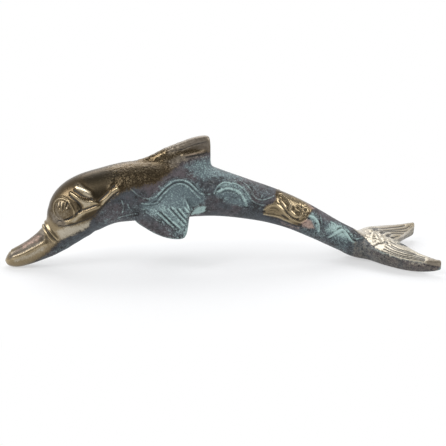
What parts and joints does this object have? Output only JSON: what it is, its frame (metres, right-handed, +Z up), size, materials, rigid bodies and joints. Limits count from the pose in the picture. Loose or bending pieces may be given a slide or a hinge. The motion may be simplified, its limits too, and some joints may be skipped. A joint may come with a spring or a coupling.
{
  "type": "bronze dolphin statue",
  "caption": "Arched dolphin figure in cast bronze, hollow body, standing on its beak and the flats of both flukes.",
  "frame": {"origin": "on the table, under the middle of the figure's length and width", "axes": "+X from beak to tail, +Z up, the dolphin's left side towards -Y"},
  "size_m": [0.27, 0.0836, 0.0823],
  "materials": {
    "dark_patina": "cast bronze with a dark violet-brown patina, verdigris in the recesses, rubbed on the ridges",
    "polished_bronze": "bronze, chased and rubbed bright, brown in the grooves",
    "verdigris_bronze": "bronze under blue-green verdigris, with bright ridges",
    "rubbed_bronze": "pale rubbed bronze, filed lengthwise, grey-green on the sides",
    "plain_brass": "turned brass, bare"
  },
  "bodies": {
    "root": {"body_shell_left": "dark_patina", "body_shell_right": "dark_patina", "beak": "polished_bronze", "beak_band": "polished_bronze", "eye_left": "polished_bronze", "eye_right": "polished_bronze", "dorsal_fin": "polished_bronze", "pectoral_fin_left": "verdigris_bronze", "pectoral_fin_right": "verdigris_bronze", "fluke_left": "rubbed_bronze", "fluke_right": "rubbed_bronze", "beak_pin": "plain_brass", "dorsal_pin_1": "plain_brass", "dorsal_pin_2": "plain_brass", "tail_pin_1": "plain_brass", "tail_pin_2": "plain_brass", "pectoral_washer_left": "plain_brass", "pectoral_washer_right": "plain_brass", "seam_dowel_1": "plain_brass", "seam_dowel_2": "plain_brass", "seam_dowel_3": "plain_brass", "seam_dowel_4": "plain_brass", "seam_dowel_5": "plain_brass"}
  },
  "joints": []
}
